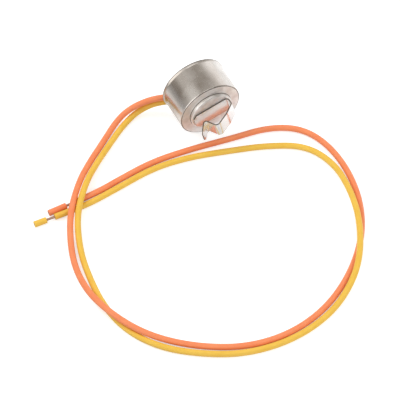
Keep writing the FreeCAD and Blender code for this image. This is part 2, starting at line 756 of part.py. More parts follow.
def potting(buried):
    """Resin that fills the can's rear, cast round everything that passes through it."""
    fill = doc.addObject("Part::Cylinder", "potting_fill")
    fill.setExpression("Radius", bound(BORE_RADIUS))
    fill.setExpression("Height", bound(f"{FLARE} - {COVER_REAR}"))
    fill.Placement = IN_CAN
    fill.setExpression("Placement.Base.y", bound(f"{FRONT} + {FLARE}"))
    fill.setExpression("Placement.Base.z", bound(RIM_RADIUS))
    resin = fill
    for piece in buried:
        cast = doc.addObject("Part::Cut", "potting_round_" + piece.Label)
        cast.Base = resin
        cast.Tool = piece
        resin = cast
    resin.Label = "potting"
    return resin


def build():
    """Every piece, with the resin last because it is cast round the others."""
    pieces = [
        can_shell(),
        tube_clip(),
        bimetal_disc(),
        disc_guide(),
        transfer_pin(),
        switch_base(),
        contact_blade(),
        moving_contact(),
        fixed_contact(),
        terminal_rivet("blade_rivet", BLADE_FOOT_REAR),
        terminal_rivet("fixed_rivet", FIXED_FOOT_REAR),
        chamber_cover(),
    ]
    buried = [blade_terminal(), fixed_terminal()]
    for colour, route in (("orange", ORANGE_ROUTE), ("yellow", YELLOW_ROUTE)):
        buried.append(lead("lead_" + colour, route))
        buried += lead_root(colour, route)
        pieces += lead_end(colour, route, size(colour + "_bare"), size(colour + "_slug"))
    return pieces + buried + [potting(buried)]


def check(pieces):
    """Stop if any object failed to build or any piece isn't one valid solid."""
    for item in doc.Objects:
        if "Invalid" in item.State or "Error" in item.State:
            raise RuntimeError(f"{item.Label} failed: {item.State}")
    for piece in pieces:
        shape = piece.Shape
        if shape.isNull() or not shape.isValid() or len(shape.Solids) != 1:
            raise RuntimeError(f"{piece.Label} isn't one valid solid")


pieces = build()
doc.recompute()
check(pieces)
os.makedirs("parts", exist_ok=True)
for piece in pieces:
    piece.Shape.exportStep(f"parts/{piece.Label}.step")
print(f"{len(pieces)} pieces")
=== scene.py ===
"""The looks of a defrost thermostat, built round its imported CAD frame. Metres."""
import json
import math

import bmesh
import bpy
from mathutils import Matrix, Vector, noise

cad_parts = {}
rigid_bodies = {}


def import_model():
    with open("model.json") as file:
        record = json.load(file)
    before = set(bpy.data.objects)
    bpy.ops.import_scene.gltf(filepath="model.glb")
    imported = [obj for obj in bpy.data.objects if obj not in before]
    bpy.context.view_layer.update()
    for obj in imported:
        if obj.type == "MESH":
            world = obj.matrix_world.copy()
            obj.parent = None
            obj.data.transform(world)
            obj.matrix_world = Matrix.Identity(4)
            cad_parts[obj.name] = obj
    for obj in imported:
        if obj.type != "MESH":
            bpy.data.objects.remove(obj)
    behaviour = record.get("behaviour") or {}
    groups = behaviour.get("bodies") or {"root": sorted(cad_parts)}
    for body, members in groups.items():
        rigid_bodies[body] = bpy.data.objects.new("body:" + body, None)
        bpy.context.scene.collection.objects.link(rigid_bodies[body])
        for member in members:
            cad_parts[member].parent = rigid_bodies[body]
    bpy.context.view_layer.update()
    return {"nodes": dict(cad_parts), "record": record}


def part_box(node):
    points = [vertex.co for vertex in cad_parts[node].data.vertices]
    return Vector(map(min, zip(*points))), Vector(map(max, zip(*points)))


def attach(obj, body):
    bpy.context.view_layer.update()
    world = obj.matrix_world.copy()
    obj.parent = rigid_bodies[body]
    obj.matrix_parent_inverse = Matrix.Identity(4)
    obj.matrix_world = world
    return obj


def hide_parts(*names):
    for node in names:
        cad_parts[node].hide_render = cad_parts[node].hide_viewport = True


for leftover in list(bpy.data.objects):
    bpy.data.objects.remove(leftover)

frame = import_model()
MM = 0.001
TINY = 1e-6

# The camera, fitted to the two rims of the can in the photograph.
CAMERA_AZIMUTH = -28.09
CAMERA_ELEVATION = 55.645
CAMERA_DISTANCE = 0.873177
CAMERA_TARGET = (-0.020953, -0.032946, 0.0004)
CAMERA_LENS = 200.0
CAMERA_SENSOR = 36.0
CAMERA_NEAREST = 0.01

# The can's place in the frame, in metres, and its whole depth in millimetres.
CAN_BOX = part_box("can_shell")
CAN_AXIS_X = (CAN_BOX[0].x + CAN_BOX[1].x) / 2
CAN_AXIS_Z = (CAN_BOX[0].z + CAN_BOX[1].z) / 2
FACE_Y = CAN_BOX[0].y
CAN_DEPTH = (CAN_BOX[1].y - FACE_Y) / MM

# The can, in millimetres, with its depths measured from the boss face.
CAN_RADIUS = 12.7
CAN_WALL = 0.5
BOSS_RADIUS = 8.7
BOSS_HEIGHT = 1.5
SHOULDER_ROUND = 0.45
BOSS_ROUND = 0.7
BOSS_FOOT_ROUND = 0.35
INNER_CHAMFER = 0.5
RIM_FLARE = 0.4
RIM_FLARE_LENGTH = 0.9
RIM_LAND = 0.25
RIM_ROUND = 0.14
FLARE_START_ROUND = 0.9
FLARE_END_ROUND = 0.35
INNER_FLARE_START_ROUND = 0.5
INNER_FLARE_END_ROUND = 0.3
CAN_TURNS = 240
CAN_ARC_STEPS = 7
CAN_LONGEST_STEP = 1.2
CAN_SMOOTH_ANGLE = 60.0

# The can's unevenness: how far barrel and face give way, how quickly that changes, and
# how far it stays from the boss's middle, the shoulder and the flare.
BARREL_SWELL = 0.03
FACE_SWELL = 0.02
SWELL_PER_TURN = 2.2
SWELL_PER_DEPTH = 0.09
EVEN_MIDDLE = 1.0
EVEN_SHOULDER = 0.3
EVEN_FLARE = 1.0

# How far the struck face and the painted shade lines along the can's bends reach from those
# bends.
STRUCK_MARGIN = 0.05
FOOT_SHADE_BAND = 0.22
FOOT_SHADE_BAND_HEIGHT = 0.3
SHOULDER_SHADE_BAND = 0.14
RIM_SHADE_BAND = 0.15

# The tube clip, in millimetres: corners of its bent centre line, along the base and
# out of the boss face, with the radius of each bend.
CLIP_SHEET = 0.45
CLIP_WIDTH = 7.4
CLIP_ROLL = 13.0
CLIP_HEIGHT = 8.5
CLIP_TOE = (-7.8, 0.225)
CLIP_HEEL = [(7.55, 0.225), (7.55, 3.3)]
CLIP_KNEE = (3.8, 6.05)
CLIP_CREST_ALONG = -1.6
CLIP_DIP = (-4.66, 3.6)
CLIP_LIP = (-8.1, 7.8)
CLIP_BENDS = [1.3, 1.1, 9.0, 1.5, 0.9]
CLIP_CORNER_CUT = 1.6
CLIP_LIP_TAPER = 0.6
CLIP_LIP_CORNER = 1.1
CLIP_CREST_TRIES = 30
CLIP_ARC_STEPS = 9
CLIP_LONGEST_STEP = 0.8
CLIP_SOFT_EDGE = 0.06
CLIP_SOFT_STEPS = 2
CLIP_SMOOTH_ANGLE = 40.0

# The resin, in millimetres: how high it climbs, how far from the can and from a lead
# that climb reaches, and the waves on its face.
RESIN_CLIMB = 0.28
CLIMB_FROM_CAN = 0.45
CLIMB_FROM_LEAD = 0.4
RESIN_WAVE = 0.05
RESIN_WAVE_SCALE = 0.35
RESIN_TURNS = 144
RESIN_RINGS = 44
RESIN_CROWDING = 0.8
RESIN_SMOOTH_ANGLE = 40.0

# The leads, in millimetres. The route's points are the control points of a smooth
# line that starts inside the resin and ends where the jacket is cut.
LEAD_RADIUS = 1.2
STRAND_BUNDLE_RADIUS = 0.5
ORANGE_ROUTE = [
    (-4.0, 9.8, 10.3), (-12.5, 15.4, 8.7), (-21.8, 19.0, 4.6), (-29.7, 17.9, 2.3),
    (-39.4, 11.4, 1.2), (-48.5, 4.6, 2.4), (-57.1, -3.0, 3.9), (-66.5, -14.6, 3.9),
    (-72.8, -28.2, 1.5), (-75.5, -40.7, 2.4), (-74.9, -53.4, 3.9), (-69.1, -68.2, 3.9),
    (-60.5, -78.0, 1.6), (-48.7, -87.6, 1.2), (-34.6, -95.0, 1.2), (-18.7, -97.5, 1.2),
    (-2.7, -94.7, 1.2), (12.3, -86.7, 1.2), (25.3, -74.6, 1.2), (33.3, -60.6, 1.2),
    (36.9, -44.9, 1.2), (36.1, -29.9, 1.2), (30.9, -18.8, 1.2), (19.9, -12.4, 1.2),
    (4.6, -10.3, 1.2), (-10.9, -7.5, 1.2), (-26.9, -5.8, 1.2), (-41.4, -7.2, 1.2),
    (-52.9, -8.7, 1.2), (-62.5, -8.6, 1.2),
]
YELLOW_ROUTE = [
    (-4.0, 9.9, 7.4), (-11.9, 15.2, 5.9), (-20.4, 18.2, 1.8), (-28.9, 15.0, 1.2),
    (-37.8, 9.2, 1.2), (-46.8, 2.6, 2.4), (-55.1, -4.7, 3.9), (-64.2, -15.9, 3.9),
    (-69.5, -29.0, 1.3), (-71.8, -41.4, 1.2), (-72.7, -55.4, 1.2), (-69.9, -68.8, 1.2),
    (-62.3, -80.6, 1.2), (-50.5, -90.0, 1.2), (-36.1, -97.5, 1.2), (-18.7, -100.2, 1.2),
    (-1.9, -97.4, 1.2), (10.5, -91.0, 2.4), (19.7, -82.6, 3.9), (28.1, -68.2, 3.9),
    (32.5, -53.6, 2.8), (33.7, -39.2, 1.4), (28.4, -26.8, 1.2), (14.9, -19.6, 1.2),
    (0.6, -14.9, 1.2), (-13.4, -10.6, 1.2), (-27.9, -8.6, 1.2), (-42.9, -10.3, 1.2),
    (-55.9, -11.7, 1.2), (-64.4, -11.5, 1.2), (-71.1, -11.1, 1.2),
]
# For each colour: the route, where it leaves the resin, the jacket's length, the bare
# strands' length and the length of the slug left on their tip.
LEADS = {
    "orange": (ORANGE_ROUTE, (-6.0, 11.2, 9.9), 400.0, 2.6, 7.3),
    "yellow": (YELLOW_ROUTE, (-5.9, 11.2, 7.0), 397.6, 3.4, 4.9),
}
LEAD_STEPS = 14
LEAD_ROUNDNESS = 7

# The strands, in layers of one, six and twelve, and the slug with its ragged outer cut.
STRAND_RADIUS = STRAND_BUNDLE_RADIUS / 5
STRAND_LAYERS = [(0, 1), (2 * STRAND_RADIUS, 6), (4 * STRAND_RADIUS, 12)]
STRAND_PITCH = 9.0
STRAND_STEPS = 40
STRAND_SIDES = 8
SLUG_SOFT_EDGE = 0.12
SLUG_RAGGED = 0.04
SLUG_END = 0.3
SLUG_TURNS = 48
SLUG_ARC_STEPS = 4
SLUG_LONGEST_STEP = 0.7
END_SMOOTH_ANGLE = 50.0

# Nearly all values of a noise texture lie between these two.
NOISE_LOW = 0.3
NOISE_HIGH = 0.7

# The depth of a bump in metres, for metal and for plastic.
METAL_BUMP = 0.00001
PLASTIC_BUMP = 0.00002


def calculate(tree, operation, first, second):
    """A math node whose inputs are numbers or other nodes' results."""
    node = tree.nodes.new("ShaderNodeMath")
    node.operation = operation
    for socket, value in zip(node.inputs, (first, second)):
        if isinstance(value, float):
            socket.default_value = value
        else:
            tree.links.new(value, socket)
    return node.outputs[0]


class Shader:
    """A node material under construction."""

    def __init__(self, name):
        self.material = bpy.data.materials.new(name)
        self.material.use_nodes = True
        self.tree = self.material.node_tree
        self.surface = self.tree.nodes["Principled BSDF"]

    def add(self, kind, **values):
        """A node with its inputs, or else its settings, given by name."""
        node = self.tree.nodes.new(kind)
        for key, value in values.items():
            if key in node.inputs:
                node.inputs[key].default_value = value
            else:
                setattr(node, key, value)
        return node

    def join(self, source, target):
        self.tree.links.new(source, target)

    def set(self, **values):
        """Plain values of the surface's own inputs."""
        for key, value in values.items():
            self.surface.inputs[key.replace("_", " ")].default_value = value

    def position(self, scale=(1.0, 1.0, 1.0)):
        """Places in the frame, in metres, scaled along each axis."""
        coordinates = self.add("ShaderNodeTexCoord")
        mapping = self.add("ShaderNodeMapping")
        mapping.inputs["Scale"].default_value = scale
        self.join(coordinates.outputs["Object"], mapping.inputs["Vector"])
        return mapping.outputs["Vector"]

    def noise(self, scale, detail, stretch=(1.0, 1.0, 1.0)):
        """A noise value; a stretch below 1 draws the grain out along that axis."""
        texture = self.add("ShaderNodeTexNoise", Scale=scale, Detail=detail)
        self.join(self.position(stretch), texture.inputs["Vector"])
        return texture.outputs["Fac"]

    def spread(self, value, low, high):
        """A noise value spread between two ends."""
        ranged = self.add("ShaderNodeMapRange")
        ranged.inputs["From Min"].default_value = NOISE_LOW
        ranged.inputs["From Max"].default_value = NOISE_HIGH
        ranged.inputs["To Min"].default_value = low
        ranged.inputs["To Max"].default_value = high
        self.join(value, ranged.inputs["Value"])
        return ranged.outputs["Result"]

    def graded(self, value, slopes):
        """A noise value with painted light added, rising along each axis from the middle of the
        boss, per metre.
        """
        offset = self.add("ShaderNodeVectorMath", operation="SUBTRACT")
        offset.inputs[1].default_value = (CAN_AXIS_X, FACE_Y, CAN_AXIS_Z)
        self.join(self.position(), offset.inputs[0])
        rise = self.add("ShaderNodeVectorMath", operation="DOT_PRODUCT")
        rise.inputs[1].default_value = slopes
        self.join(offset.outputs["Vector"], rise.inputs[0])
        return calculate(self.tree, "ADD", value, rise.outputs["Value"])

    def painted_shade_gradient(self, value, to_left, to_rear, to_rear_left):
        """A noise value with painted shade added: it falls over the can's width, depth and both,
        for each metre.
        """
        axes = self.add("ShaderNodeSeparateXYZ")
        self.join(self.position(), axes.inputs[0])
        across, along = axes.outputs["X"], axes.outputs["Y"]
        width_slope = calculate(self.tree, "MULTIPLY", along, to_rear_left)
        width_slope = calculate(self.tree, "ADD", width_slope, to_left)
        gain = calculate(self.tree, "MULTIPLY", across, width_slope)
        loss = calculate(self.tree, "MULTIPLY", along, to_rear)
        change = calculate(self.tree, "SUBTRACT", gain, loss)
        return calculate(self.tree, "ADD", value, change)

    def tint(self, value, dark, light):
        """A colour between two, by a noise value."""
        ramp = self.add("ShaderNodeValToRGB")
        ends = ((NOISE_LOW, dark), (NOISE_HIGH, light))
        for element, (position, colour) in zip(ramp.color_ramp.elements, ends):
            element.position = position
            element.color = (*colour, 1)
        self.join(value, ramp.inputs["Fac"])
        self.join(ramp.outputs["Color"], self.surface.inputs["Base Color"])

    def rough(self, value, low, high):
        self.join(self.spread(value, low, high), self.surface.inputs["Roughness"])

    def bump(self, height, strength, distance):
        node = self.add("ShaderNodeBump", Strength=strength, Distance=distance)
        self.join(height, node.inputs["Height"])
        self.join(node.outputs["Normal"], self.surface.inputs["Normal"])


def drawn_metal():
    """Deep-drawn can: fine lines along the draw, faint smears and grain, with painted shade that
    darkens it towards the left and the rear.
    """
    shader = Shader("drawn_metal")
    shader.set(Metallic=0.92)
    lines = shader.noise(1400.0, 4.0, (1.0, 0.06, 1.0))
    smears = shader.noise(170.0, 5.0, (1.0, 0.7, 1.0))
    # Painted shade: the smears darkened towards the left and the rear.
    tone_and_painted_light = shader.painted_shade_gradient(smears, 8.0, 6.0, 1900.0)
    shader.tint(tone_and_painted_light, (0.50, 0.46, 0.42), (0.755, 0.725, 0.695))
    shader.rough(smears, 0.22, 0.31)
    shader.bump(lines, 0.18, METAL_BUMP)
    return shader.material


def struck_face():
    """The can's boss and shoulder, struck flat: more even, with a painted highlight that makes it
    brighter low on the right.
    """
    shader = Shader("struck_face")
    shader.set(Metallic=0.75)
    cloud = shader.noise(300.0, 4.0)
    # Painted highlight: the cloud brightened towards the lower right.
    tone_and_painted_light = shader.graded(cloud, (7.0, 0.0, -16.0))
    shader.tint(tone_and_painted_light, (0.67, 0.635, 0.605), (0.96, 0.95, 0.94))
    shader.rough(cloud, 0.36, 0.46)
    shader.bump(shader.noise(900.0, 2.0), 0.15, METAL_BUMP)
    return shader.material


def rolled_steel():
    """Bright spring strip with the faint lines of its rolling."""
    shader = Shader("rolled_steel")
    shader.set(Metallic=0.72)
    lines = shader.noise(1800.0, 3.0, (0.12, 1.0, 1.0))
    smears = shader.noise(260.0, 4.0)
    shader.tint(smears, (0.90, 0.885, 0.87), (0.97, 0.96, 0.95))
    shader.rough(smears, 0.10, 0.17)
    shader.bump(lines, 0.12, METAL_BUMP)
    return shader.material


def jacket(name, dark, light):
    """Extruded PVC: nearly smooth, slightly uneven in colour and gloss."""
    shader = Shader(name)
    cloud = shader.noise(240.0, 4.0)
    shader.tint(cloud, dark, light)
    shader.rough(cloud, 0.34, 0.46)
    shader.set(Specular_IOR_Level=0.4)
    shader.bump(shader.noise(2400.0, 3.0), 0.18, PLASTIC_BUMP)
    return shader.material


def plain_metal(name, dark, light, low, high, metallic=1.0):
    """Clouded metal with a fine grain, from its two tints and its range of roughness."""
    shader = Shader(name)
    shader.set(Metallic=metallic)
    cloud = shader.noise(900.0, 4.0)
    shader.tint(cloud, dark, light)
    shader.rough(cloud, low, high)
    shader.bump(shader.noise(2700.0, 2.0), 0.15, METAL_BUMP)
    return shader.material


def plain_plastic(name, dark, light, low, high, grain=1200.0):
    """Grained plastic or ceramic, from its two tints and its range of roughness."""
    shader = Shader(name)
    cloud = shader.noise(grain, 4.0)
    shader.tint(cloud, dark, light)
    shader.rough(cloud, low, high)
    shader.bump(shader.noise(grain * 2, 4.0), 0.3, PLASTIC_BUMP)
    return shader.material


MATERIALS = {
    "can_metal": drawn_metal(),
    "spring_steel": rolled_steel(),
    "resin": plain_plastic(
        "resin", (0.010, 0.010, 0.011), (0.022, 0.021, 0.021), 0.16, 0.30, 300.0),
    "jacket_orange": jacket("jacket_orange", (0.92, 0.262, 0.105), (0.96, 0.305, 0.13)),
    "jacket_yellow": jacket("jacket_yellow", (0.875, 0.525, 0.062), (0.915, 0.575, 0.085)),
    "tinned_strand": plain_metal(
        "tinned_strand", (0.52, 0.33, 0.25), (0.68, 0.50, 0.41), 0.3, 0.45, metallic=0.5),
    "brass_strip": plain_metal("brass_strip", (0.60, 0.42, 0.16), (0.72, 0.54, 0.24), 0.22, 0.36),
    "spring_bronze": plain_metal(
        "spring_bronze", (0.56, 0.30, 0.15), (0.68, 0.40, 0.22), 0.2, 0.32),
    "contact_silver": plain_metal(
        "contact_silver", (0.74, 0.73, 0.71), (0.86, 0.85, 0.83), 0.2, 0.34),
    "moulding": plain_plastic(
        "moulding", (0.016, 0.009, 0.006), (0.030, 0.017, 0.012), 0.4, 0.55),
    "pin_ceramic": plain_plastic(
        "pin_ceramic", (0.66, 0.60, 0.51), (0.76, 0.71, 0.63), 0.5, 0.65),
    "fibre": plain_plastic(
        "fibre", (0.10, 0.022, 0.010), (0.17, 0.042, 0.020), 0.55, 0.75),
}
# The clip's cut edges: a darker blanked edge, deepened with painted shade of the gap beside it.
SHADED_CUT_EDGE = plain_metal("shaded_cut_edge", (0.13, 0.105, 0.085), (0.20, 0.17, 0.145), 0.35, 0.5)
# Painted shade: near-black metal drawn as dark lines at the boss foot, the shoulder and the rim.
PAINTED_SHADE_LINES = plain_metal(
    "painted_shade_lines", (0.13, 0.112, 0.098), (0.21, 0.187, 0.165), 0.28, 0.4)
STRUCK_FACE = struck_face()

# The stage. The floor glows a little, and in reflections carries painted shadow: it is
# mirrored dimmer close to the can's face and far out on the left. The room is seen by
# reflections alone: each of its lobes is a direction, the cosines at which it starts and
# is full, and a colour.
FLOOR_HALF = 3.0
FLOOR_WHITE = 0.8
CAMERA_GLOW = 0.52
MIRRORED_GLOW = 0.38
SHADE_CENTRE = (-0.006, -0.027, 0.0)
SHADE_NEAR = 0.008
SHADE_FAR = 0.028
SHADE_TONE = 0.60
# Painted shade far out on the left, in the floor's reflections.
LEFT_SHADE_NEAR = -0.030
LEFT_SHADE_FAR = -0.090
LEFT_SHADE_TONE = 0.38
ROOM_LIGHT = 0.70
ROOM_WALL = (0.42, 0.385, 0.345)
ROOM_LOBES = [
    ((-0.61, 0.50, 0.62), 0.84, 0.99, (0.82, 0.80, 0.77)),
    ((0.85, 0.45, -0.05), 0.60, 0.97, (1.16, 1.12, 1.09)),
    ((-0.90, 0.42, 0.05), 0.85, 0.98, (0.26, 0.225, 0.19)),
    ((0.10, -0.10, 1.00), 0.90, 0.985, (1.7, 1.67, 1.63)),
    ((-0.80, -0.27, 0.45), 0.72, 0.90, (2.0, 1.96, 1.90)),
    ((0.25, -0.95, 0.15), 0.72, 0.93, (0.04, 0.033, 0.028)),
]
LIGHT_AIM = (-0.02, -0.03, 0)
LIGHT_SIZE = 0.5
LIGHTS = {
    "key": ((-0.30, 0.40, 0.60), 2.3),
    "fill": ((0.30, -0.45, 0.45), 1.1),
}


def new_piece(name, bm, slot, nodes, smooth_angle):
    """Turn a bmesh into a piece of the object that stands for some CAD nodes."""
    bmesh.ops.recalc_face_normals(bm, faces=bm.faces)
    mesh = bpy.data.meshes.new(name)
    bm.to_mesh(mesh)
    bm.free()
    piece = bpy.data.objects.new(name, mesh)
    bpy.context.scene.collection.objects.link(piece)
    mesh.shade_smooth()
    mesh.set_sharp_from_angle(angle=math.radians(smooth_angle))
    finish_piece(piece, slot, nodes)
    return piece


def finish_piece(piece, slot, nodes):
    """Material, body, slot and replaced nodes of one piece."""
    piece.data.materials.append(MATERIALS[slot])
    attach(piece, "root")
    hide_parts(*nodes)


def rounded_corner(before, corner, after, radius, steps):
    """Points of the arc that rounds a corner of a flat path."""
    arriving = (corner - before).normalized()
    leaving = (after - corner).normalized()
    turn = arriving.angle(leaving)
    reach = radius * math.tan(turn / 2)
    centre = corner + (leaving - arriving).normalized() * (radius / math.cos(turn / 2))
    start = corner - arriving * reach - centre
    side = 1 if start.x * arriving.y - start.y * arriving.x > 0 else -1
    points = []
    for step in range(steps + 1):
        angle = side * turn * step / steps
        cosine, sine = math.cos(angle), math.sin(angle)
        spoke = Vector((start.x * cosine - start.y * sine, start.x * sine + start.y * cosine))
        points.append(centre + spoke)
    return points


def rounded_line(corners, radii, steps):
    """A flat path with its inner corners rounded; a radius of 0 keeps a corner sharp."""
    points = [corners[0]]
    for before, corner, after, radius in zip(corners, corners[1:], corners[2:], radii):
        if radius:
            points += rounded_corner(before, corner, after, radius, steps)
        else:
            points.append(corner)
    points.append(corners[-1])
    return points


def divided(points, longest):
    """The same path with its long straight stretches divided."""
    result = [points[0]]
    for start, end in zip(points, points[1:]):
        parts = max(1, math.ceil((end - start).length / longest))
        for part in range(1, parts + 1):
            result.append(start.lerp(end, part / parts))
    return result


def on_can(radius, turn, depth):
    """A place on the can: radius and turn about its axis, depth below the boss face."""
    return Vector((
        CAN_AXIS_X + radius * math.cos(turn) * MM,
        FACE_Y + depth * MM,
        CAN_AXIS_Z + radius * math.sin(turn) * MM,
    ))


def lathe(profile, turns, offset=None):
    """A mesh turned about the can's axis from a closed or axis-to-axis profile."""
    bm = bmesh.new()
    rings = []
    for radius, depth in profile:
        if radius < TINY:
            rings.append([bm.verts.new(on_can(0, 0, depth))])
            continue
        ring = []
        for step in range(turns):
            turn = 2 * math.pi * step / turns
            shift = offset(radius, turn, depth) if offset else (0, 0)
            ring.append(bm.verts.new(on_can(radius + shift[0], turn, depth + shift[1])))
        rings.append(ring)
    for lower, upper in zip(rings, rings[1:]):
        for step in range(turns):
            following = (step + 1) % turns
            corners = [lower[step % len(lower)], lower[following % len(lower)],
                       upper[following % len(upper)], upper[step % len(upper)]]
            unique = list(dict.fromkeys(corners))
            if len(unique) > 2:
                bm.faces.new(unique)
    return bm


def can():
    """The drawn cup, very slightly uneven on its barrel as drawn metal is."""
    shoulder = BOSS_HEIGHT + CAN_WALL
    bore = CAN_RADIUS - CAN_WALL
    rim = CAN_RADIUS + RIM_FLARE
    flare = CAN_DEPTH - RIM_FLARE_LENGTH
    land = CAN_DEPTH - RIM_LAND
    cup = BOSS_RADIUS - CAN_WALL
    corners = [
        ((0, 0), 0),
        ((BOSS_RADIUS, 0), BOSS_ROUND),
        ((BOSS_RADIUS, BOSS_HEIGHT), BOSS_FOOT_ROUND),
        ((CAN_RADIUS, BOSS_HEIGHT), SHOULDER_ROUND),
        ((CAN_RADIUS, flare), FLARE_START_ROUND),
        ((rim, land), FLARE_END_ROUND),
        ((rim, CAN_DEPTH), RIM_ROUND),
        ((rim - CAN_WALL, CAN_DEPTH), RIM_ROUND),
        ((rim - CAN_WALL, land), INNER_FLARE_END_ROUND),
        ((bore, flare), INNER_FLARE_START_ROUND),
        ((bore, shoulder + INNER_CHAMFER), 0),
        ((bore - INNER_CHAMFER, shoulder), 0),
        ((cup, shoulder), 0),
        ((cup, CAN_WALL + INNER_CHAMFER), 0),
        ((cup - INNER_CHAMFER, CAN_WALL), 0),
        ((0, CAN_WALL), 0),
    ]
    radii = [radius for place, radius in corners[1:-1]]
    line = rounded_line([Vector(place) for place, radius in corners], radii, CAN_ARC_STEPS)
    profile = divided(line, CAN_LONGEST_STEP)

    def unevenness(radius, turn, depth):
        place = Vector((math.cos(turn), math.sin(turn), 0)) * SWELL_PER_TURN
        place.z = depth * SWELL_PER_DEPTH
        swell = noise.noise(place) * 0.5 + 0.5
        outside = radius > bore + CAN_WALL / 2
        if outside and BOSS_HEIGHT + SHOULDER_ROUND < depth < flare - EVEN_FLARE:
            return (-BARREL_SWELL * swell, 0)
        on_face = radius > EVEN_MIDDLE and depth < shoulder - EVEN_SHOULDER
        return (0, FACE_SWELL * swell) if on_face else (0, 0)

    def finish_or_shade_at(radius, depth):
        """0 for drawn metal, 1 for the painted shade lines in the bends, 2 for the struck face.
        """
        struck = depth < BOSS_HEIGHT + STRUCK_MARGIN
        by_boss = BOSS_RADIUS - STRUCK_MARGIN < radius < BOSS_RADIUS + FOOT_SHADE_BAND
        foot = struck and by_boss and depth > BOSS_HEIGHT - FOOT_SHADE_BAND_HEIGHT
        edge = radius > CAN_RADIUS - SHOULDER_ROUND and depth < BOSS_HEIGHT + SHOULDER_SHADE_BAND
        rim_land = radius > CAN_RADIUS + RIM_FLARE / 2 and depth > land - RIM_SHADE_BAND
        # Painted shade lines at the boss foot, the shoulder edge and the rim land.
        if foot or edge or rim_land:
            return 1
        return 2 if struck else 0

    bm = lathe([(p.x, p.y) for p in profile], CAN_TURNS, unevenness)
    for face in bm.faces:
        centre = face.calc_center_median()
        radius = math.hypot(centre.x - CAN_AXIS_X, centre.z - CAN_AXIS_Z) / MM
        face.material_index = finish_or_shade_at(radius, (centre.y - FACE_Y) / MM)
    piece = new_piece("can", bm, "can_metal", ["can_shell"], CAN_SMOOTH_ANGLE)
    piece.data.materials.append(PAINTED_SHADE_LINES)
    piece.data.materials.append(STRUCK_FACE)
    return piece


def clip_corners():
    """Corners of the clip's bent centre line, its crest set so that the clip's height holds."""
    knee, dip = Vector(CLIP_KNEE), Vector(CLIP_DIP)
    bend = CLIP_BENDS[3]
    crest = Vector((CLIP_CREST_ALONG, CLIP_HEIGHT))
    # Each round moves the corner until the rounded crest just reaches the height.
    for _ in range(CLIP_CREST_TRIES):
        arriving = (crest - knee).normalized()
        leaving = (dip - crest).normalized()
        turn = arriving.angle(leaving)
        centre = crest + (leaving - arriving).normalized() * (bend / math.cos(turn / 2))
        crest.y += CLIP_HEIGHT - (centre.y + bend + CLIP_SHEET / 2)
    heel = [Vector(corner) for corner in CLIP_HEEL]
    return [Vector(CLIP_TOE), *heel, knee, crest, dip, Vector(CLIP_LIP)]


def clip():
    """One bent strip of spring steel, with a soft edge left by the blanking and cut edges
    darkened partly by painted shade.
    """
    corners = clip_corners()
    line = divided(rounded_line(corners, CLIP_BENDS, CLIP_ARC_STEPS), CLIP_LONGEST_STEP)
    lengths = [0.0]
    for start, end in zip(line, line[1:]):
        lengths.append(lengths[-1] + (end - start).length)
    total = lengths[-1]
    lip_length = (corners[-1] - corners[-2]).length - CLIP_BENDS[-1]
    roll = math.radians(CLIP_ROLL)
    along = Vector((math.cos(roll), 0, math.sin(roll)))
    across = Vector((-math.sin(roll), 0, math.cos(roll)))
    outward = Vector((0, -1, 0))
    middle = Vector((CAN_AXIS_X, FACE_Y, CAN_AXIS_Z))
    half = CLIP_WIDTH / 2

    # Extra stations where the outline has a corner.
    for extra in (CLIP_CORNER_CUT, total - CLIP_LIP_CORNER, total - lip_length):
        for index, (start, end) in enumerate(zip(lengths, lengths[1:])):
            if start + TINY < extra < end - TINY:
                share = (extra - start) / (end - start)
                line.insert(index + 1, line[index].lerp(line[index + 1], share))
                lengths.insert(index + 1, extra)
                break

    def half_width(place):
        width = half
        if place < CLIP_CORNER_CUT:
            width = half - (CLIP_CORNER_CUT - place)
        left = total - place
        if left < lip_length:
            taper = (lip_length - left) / (lip_length - CLIP_LIP_CORNER)
            width = half - CLIP_LIP_TAPER * min(1.0, taper)
        if left < CLIP_LIP_CORNER:
            width -= CLIP_LIP_CORNER - left
        return width

    bm = bmesh.new()
    sections = []
    for index, point in enumerate(line):
        before = line[max(index - 1, 0)]
        after = line[min(index + 1, len(line) - 1)]
        run = (after - before).normalized()
        side = Vector((-run.y, run.x)) * (CLIP_SHEET / 2)
        width = half_width(lengths[index])
        section = []
        for flat, reach in ((point + side, -width), (point + side, width),
                            (point - side, width), (point - side, -width)):
            place = middle + (along * flat.x + outward * flat.y + across * reach) * MM
            section.append(bm.verts.new(place))
        sections.append(section)
    for lower, upper in zip(sections, sections[1:]):
        for corner in range(4):
            following = (corner + 1) % 4
            around = [lower[corner], lower[following], upper[following], upper[corner]]
            # Every other side of the section is a cut edge: a darker blanked edge, deepened with
            # painted shade.
            bm.faces.new(around).material_index = corner % 2
    for end in (sections[0], sections[-1]):
        bm.faces.new(end).material_index = 1
    piece = new_piece("clip", bm, "spring_steel", ["tube_clip"], CLIP_SMOOTH_ANGLE)
    piece.data.materials.append(SHADED_CUT_EDGE)
    bevel = piece.modifiers.new("soft_edges", "BEVEL")
    bevel.width = CLIP_SOFT_EDGE * MM
    bevel.segments = CLIP_SOFT_STEPS
    bevel.limit_method = "ANGLE"
    bevel.angle_limit = math.radians(CLIP_SMOOTH_ANGLE)
    bevel.harden_normals = True
    return piece


